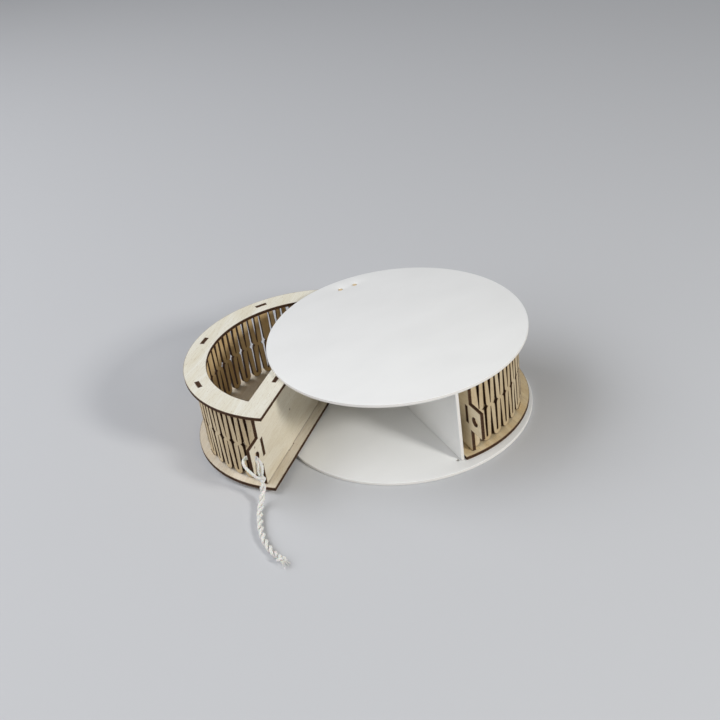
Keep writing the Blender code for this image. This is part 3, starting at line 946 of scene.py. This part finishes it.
def pin(side):
    node = WORDS[side] + "_pivot_pin"
    low, high = (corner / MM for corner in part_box(node))
    piece = cut_sheet(
        WORDS[side] + "_dowel_pin",
        [circle(0.0, 0.0, PIN_RADIUS, PIN_CORNERS)],
        rounded_profile(high.z - low.z, PIN_CHAMFER, 4),
        lambda a, b, depth: Vector((pins[side].x + a, pins[side].y + b, low.z + depth)) * MM,
        (dowel, dowel),
    )
    stand_for(piece, node)


pin(-1)
pin(1)

# %% [markdown]
# ## Tray floors and frames
#
# The floor of a tray is a half disc whose straight side runs a little past the centre, with one
# corner rounded about the pin. The frame on top has the same outline and a large opening. Both
# have slots for the tabs of the walls, and a hole for the pin. The closed right tray lies
# straight in the row frame, so its boxes give every size, and the left tray is its mirror
# image. Fibres run along the straight side.

# %% Sizes of a tray
floor_low, floor_high = (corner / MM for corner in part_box("right_tray_floor"))
frame_low, frame_high = (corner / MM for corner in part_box("right_tray_frame"))
wall_low, wall_high = (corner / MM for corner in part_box("right_straight_wall"))
curve_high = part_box("right_curved_wall")[1] / MM

CENTRE = pins[1].x
TRAY_RADIUS = floor_high.y
STRAIGHT_EDGE = CENTRE - floor_low.x
PIN_FROM_EDGE = TRAY_RADIUS - PIVOT_U
WALL_OUTER = wall_low.x - CENTRE
WALL_INNER = wall_high.x - CENTRE
EAR_TIP = -wall_low.y
WALL_HALF_LENGTH = wall_high.y
WALL_RADIUS_OUT = curve_high.x - CENTRE
WALL_RADIUS_IN = WALL_RADIUS_OUT - PLY
WALL_RADIUS = WALL_RADIUS_OUT - PLY / 2

GLUE_GAP = 0.3
FRAME_WIDTH = 20.2
PIN_RUNNING_GAP = 0.5
TAB_LENGTH = 9.6
WALL_TAB_AT = 49.5
CURVED_TAB_ANGLES = (46.0, 90.0, 134.0)
WALL_LOW = floor_high.z + GLUE_GAP
WALL_TOP = frame_low.z - GLUE_GAP
print("tray radius", round(TRAY_RADIUS, 1), "curved wall radius", round(WALL_RADIUS, 1))

# %% Floors and frames
EDGE_STEPS = 180
OPENING_STEPS = 140
CORNER_STEPS = 12
SLOT_STEPS = 6


def tray_outline():
    corner = math.asin(STRAIGHT_EDGE / PIN_FROM_EDGE)
    front = math.asin(STRAIGHT_EDGE / TRAY_RADIUS)
    rear_corner = arc(PIVOT_U, 0.0, PIN_FROM_EDGE, -corner, 0.0, CORNER_STEPS)
    return rear_corner[:-1] + arc(0.0, 0.0, TRAY_RADIUS, 0.0, math.pi + front, EDGE_STEPS)


def frame_opening():
    inner_radius = TRAY_RADIUS - FRAME_WIDTH
    start = math.asin((FRAME_WIDTH - STRAIGHT_EDGE) / inner_radius)
    return hole(arc(0.0, 0.0, inner_radius, start, math.pi - start, OPENING_STEPS))


def slots():
    """Holes for the tabs of both walls and for the pin."""
    outlines = [hole(circle(PIVOT_U, 0.0, PIN_RADIUS + PIN_RUNNING_GAP, HOLE_CORNERS))]
    half_slot = TAB_LENGTH / 2 + GLUE_GAP
    for middle in (-WALL_TAB_AT, WALL_TAB_AT):
        sides = (middle - half_slot, middle + half_slot, WALL_OUTER - GLUE_GAP, WALL_INNER + GLUE_GAP)
        outlines.append(hole(rectangle(*sides)))
    for degrees in CURVED_TAB_ANGLES:
        middle, reach = math.radians(degrees), half_slot / WALL_RADIUS
        start, end = middle - reach, middle + reach
        outer = arc(0.0, 0.0, WALL_RADIUS_OUT + GLUE_GAP, start, end, SLOT_STEPS)
        inner = arc(0.0, 0.0, WALL_RADIUS_IN - GLUE_GAP, end, start, SLOT_STEPS)
        outlines.append(hole(outer + inner))
    return outlines


# The right floor is warmer than the left: a painted warm bounce light of the closed tray.
FLOOR_COLOURS = {-1: ("#E8DFCF", "#DDD2BC"), 1: ("#E9D8B4", "#DDC69B")}
FRAME_COLOURS = ("#F0EEE2", "#E8E3D0")


def tray_plate(side, part, low, openings, colours, shift):
    name = WORDS[side] + "_tray_" + part
    veneer = birch_veneer("birch_veneer_" + name, *colours, "along", shift)
    piece = cut_sheet(
        name + "_plate",
        [tray_outline()] + openings + slots(),
        laser_cut_profile(PLY),
        lambda u, v, depth: tray_point(side, u, v, low + depth),
        (veneer, char),
    )
    stand_for(piece, name)


for side in WORDS:
    tray_plate(side, "floor", floor_low.z, [], FLOOR_COLOURS[side], 11.0 + 5 * side)
    tray_plate(side, "frame", frame_low.z, [frame_opening()], FRAME_COLOURS, 31.0 + 5 * side)

# %% [markdown]
# ## Straight walls
#
# The straight wall closes the tray's flat side. Its tabs stand in slots of the floor and the
# frame. In front it ends in an ear with a hole for the cord, and two upright slits near its
# ends take the tenons of the curved wall.

# %% Straight walls
TENON_LOW = 34.2
TENON_HEIGHT = 16.5
EAR_LOW = 28.5
EAR_HEIGHT = 26.0
EAR_HOLE_RADIUS = 4.25
EAR_HOLE_FROM_END = 10.1
EAR_HOLE_HEIGHT = 41.0
# The right wall is lighter and warmer than the left: painted light on its ear, and painted warm bounce light
# on its shaded face.
WALL_COLOURS = {-1: ("#E8E1CF", "#DDD3BC"), 1: ("#F5E7C9", "#E9D6B0")}


def straight_wall_outline():
    half_tab = TAB_LENGTH / 2
    ends = (-WALL_HALF_LENGTH, WALL_HALF_LENGTH)
    points = [(ends[0], WALL_LOW)]
    for middle in (-WALL_TAB_AT, WALL_TAB_AT):
        points += [(middle - half_tab, WALL_LOW), (middle - half_tab, floor_low.z)]
        points += [(middle + half_tab, floor_low.z), (middle + half_tab, WALL_LOW)]
    points += [(ends[1], WALL_LOW), (ends[1], WALL_TOP)]
    for middle in (WALL_TAB_AT, -WALL_TAB_AT):
        points += [(middle + half_tab, WALL_TOP), (middle + half_tab, frame_high.z)]
        points += [(middle - half_tab, frame_high.z), (middle - half_tab, WALL_TOP)]
    points += [(ends[0], WALL_TOP), (ends[0], EAR_LOW + EAR_HEIGHT)]
    points += [(-EAR_TIP, EAR_LOW + EAR_HEIGHT), (-EAR_TIP, EAR_LOW), (ends[0], EAR_LOW)]
    return [Vector(point) for point in points]


def tenon_slits():
    outer = math.sqrt(WALL_RADIUS_OUT**2 - WALL_OUTER**2) + GLUE_GAP
    inner = math.sqrt(WALL_RADIUS_IN**2 - WALL_INNER**2) - GLUE_GAP
    low, high = TENON_LOW - GLUE_GAP, TENON_LOW + TENON_HEIGHT + GLUE_GAP
    return [hole(rectangle(-outer, -inner, low, high)), hole(rectangle(inner, outer, low, high))]


def straight_wall(side, shift):
    name = WORDS[side] + "_straight_wall"
    ear_hole = circle(EAR_HOLE_FROM_END - EAR_TIP, EAR_HOLE_HEIGHT, EAR_HOLE_RADIUS, HOLE_CORNERS)
    veneer = birch_veneer("birch_veneer_" + name, *WALL_COLOURS[side], "along", shift)
    piece = cut_sheet(
        name + "_plate",
        [straight_wall_outline(), hole(ear_hole)] + tenon_slits(),
        laser_cut_profile(PLY),
        lambda u, z, depth: tray_point(side, u, WALL_OUTER + depth, z),
        (veneer, char),
    )
    stand_for(piece, name)


straight_wall(-1, 47.0)
straight_wall(1, 59.0)

# %% [markdown]
# ## Curved walls
#
# Plywood doesn't bend round a radius of a hand's width, so the sheet is cut into a pattern of
# fingers that lets it flex, which makers call a living hinge. Each finger is a long rounded
# loop with a slit down its middle. The slit opens to a small star at half height, where
# neighbouring fingers join. A broad finger carries a tab between two slits, and each end of the
# sheet is a plain strip with a tenon.
#
# The wall is drawn flat, where it is simple: one outline for the whole sheet and one for each
# slit. It is then cut crosswise every few millimetres and rolled round the tray's centre.

# %% Fingers
TAB_SHOULDER = 0.2
FINGERS_BETWEEN = 4
FINGERS_AT_END = 4
OUTER_GAP = 3.2
BRIDGE = 4.0
SLIT_MARGIN = 4.2
SLIT_AT_END = 1.6
STAR = ((3.2, 0.0), (2.5, 0.5), (1.95, 1.1), (1.58, 1.8), (1.36, 2.7), (1.24, 4.2))  # half width, height
KERF_RADIUS = 0.2  # the laser's own width rounds the tip of each gap
TIP_STEPS = 6
ROUND_STEPS = 10

HALF_SHEET = (WALL_TOP - WALL_LOW) / 2
SHEET_MIDDLE = (WALL_TOP + WALL_LOW) / 2
PER_DEGREE = WALL_RADIUS * math.pi / 180
PLAIN = TAB_LENGTH + 2 * TAB_SHOULDER
TAB_SPACING = (CURVED_TAB_ANGLES[1] - CURVED_TAB_ANGLES[0]) * PER_DEGREE
FINGER_WIDTH = (TAB_SPACING - PLAIN) / (FINGERS_BETWEEN + 1)
BROAD_WIDTH = FINGER_WIDTH + PLAIN
FINGER_RADIUS = (FINGER_WIDTH - OUTER_GAP) / 2


def gap_tip(along):
    """The bottom of the gap between two fingers, from left to right."""
    return arc(along, BRIDGE / 2 + KERF_RADIUS, KERF_RADIUS, math.pi, math.tau, TIP_STEPS)


def rounded_corner(middle, start, end):
    """A finger's corner, about a middle given along the sheet."""
    return arc(middle, HALF_SHEET - FINGER_RADIUS, FINGER_RADIUS, start, end, ROUND_STEPS)


def finger_top(start):
    middle = start + FINGER_WIDTH / 2
    rise = rounded_corner(middle, math.pi, math.pi / 2)
    return rise + rounded_corner(middle, math.pi / 2, 0.0)[1:]


def broad_top(start, tab_top):
    """The top of a broad finger: a rounded corner, the tab and the other rounded corner."""
    middle, half_tab = start + BROAD_WIDTH / 2, TAB_LENGTH / 2
    tab = [(middle - half_tab, HALF_SHEET), (middle - half_tab, tab_top)]
    tab += [(middle + half_tab, tab_top), (middle + half_tab, HALF_SHEET)]
    rise = rounded_corner(start + FINGER_WIDTH / 2, math.pi, math.pi / 2)
    fall = rounded_corner(start + BROAD_WIDTH - FINGER_WIDTH / 2, math.pi / 2, 0.0)
    return rise + [Vector(point) for point in tab] + fall


def star_slit(middle):
    """A slit that opens to a star at half height, once round: up the right side, down the left."""
    end_radius = SLIT_AT_END / 2
    right = [Vector((middle + half, height)) for half, height in STAR]
    upper = right + arc(middle, HALF_SHEET - SLIT_MARGIN - end_radius, end_radius, 0.0, math.pi, TIP_STEPS)
    upper += [Vector((2 * middle - point.x, point.y)) for point in right[:0:-1]]
    lower = [Vector((2 * middle - point.x, -point.y)) for point in upper]
    return hole(upper + lower)


print("fingers are", round(FINGER_WIDTH, 1), "mm apart, and broad ones", round(BROAD_WIDTH, 1), "mm")

# %% Whole sheet
def finger_places():
    """Where each finger and each broad finger starts along the sheet, and where each slit is."""
    broad = [degrees * PER_DEGREE - BROAD_WIDTH / 2 for degrees in CURVED_TAB_ANGLES]
    fingers = [broad[0] - number * FINGER_WIDTH for number in range(1, FINGERS_AT_END + 1)]
    for start in broad:
        count = FINGERS_AT_END if start == broad[-1] else FINGERS_BETWEEN
        fingers += [start + BROAD_WIDTH + number * FINGER_WIDTH for number in range(count)]
    slits = [start + FINGER_WIDTH / 2 for start in fingers + broad]
    slits += [start + BROAD_WIDTH - FINGER_WIDTH / 2 for start in broad]
    return sorted(fingers), broad, slits


def sheet_outline(fingers, broad, tab_top, tab_low):
    """Once round the flat sheet: along its lower edge, up the front end, back along the upper edge."""
    whole = math.pi * WALL_RADIUS
    shoulder = math.asin((WALL_INNER + GLUE_GAP) / WALL_RADIUS_IN) * WALL_RADIUS
    tenon = math.asin((WALL_OUTER + GLUE_GAP) / WALL_RADIUS_IN) * WALL_RADIUS
    first, last = fingers[0], fingers[-1] + FINGER_WIDTH

    def edge(tab):
        points = [Vector((shoulder, HALF_SHEET))]
        points += rounded_corner(first - FINGER_WIDTH / 2, math.pi / 2, 0.0)
        for start in sorted(fingers + broad):
            points += gap_tip(start)
            points += broad_top(start, tab) if start in broad else finger_top(start)
        points += gap_tip(last)
        points += rounded_corner(last + FINGER_WIDTH / 2, math.pi, math.pi / 2)
        return points + [Vector((whole - shoulder, HALF_SHEET))]

    lower = [Vector((point.x, -point.y)) for point in edge(-tab_low)]
    upper = edge(tab_top)[::-1]
    tenon_low, tenon_high = TENON_LOW - SHEET_MIDDLE, TENON_LOW + TENON_HEIGHT - SHEET_MIDDLE
    front = [(whole - shoulder, tenon_low), (whole - tenon, tenon_low)]
    front += [(whole - tenon, tenon_high), (whole - shoulder, tenon_high)]
    rear = [(shoulder, tenon_high), (tenon, tenon_high), (tenon, tenon_low), (shoulder, tenon_low)]
    return lower + [Vector(point) for point in front] + upper + [Vector(point) for point in rear]


finger_starts, broad_starts, slit_places = finger_places()
sheet_loop = sheet_outline(
    finger_starts, broad_starts, frame_high.z - SHEET_MIDDLE, floor_low.z - SHEET_MIDDLE
)
print(len(slit_places), "slits, and", len(sheet_loop), "points round the sheet")

# %% Roll the sheet
BEND_STEP = 2.6  # mm between two crosswise cuts
# The right curved wall is darker than the left: a painted shade.
CURVED_COLOURS = {-1: ("#DBCCAC", "#C8B38D"), 1: ("#D4C5A7", "#C1AD88")}
INNER_SHADE_TINT = "#FFF5E2"  # painted shade: warmer, darker tint of the inside face of a curved wall


def curved_wall(side, shift):
    name = WORDS[side] + "_curved_wall"
    veneer = birch_veneer("birch_veneer_" + name, *CURVED_COLOURS[side], "over", shift, inner_shade=INNER_SHADE_TINT)
    outlines = [sheet_loop] + [star_slit(middle) for middle in slit_places]
    lines = int(math.pi * WALL_RADIUS / BEND_STEP)

    def rolled(along, height, depth):
        angle, radius = along / WALL_RADIUS, WALL_RADIUS_IN + depth
        return tray_point(side, radius * math.cos(angle), radius * math.sin(angle), height + SHEET_MIDDLE)

    piece = cut_sheet(
        name + "_sheet",
        outlines,
        laser_cut_profile(PLY),
        rolled,
        (veneer, char),
        bends=[BEND_STEP * number for number in range(1, lines + 1)],
    )
    stand_for(piece, name)


curved_wall(-1, 71.0)
curved_wall(1, 83.0)
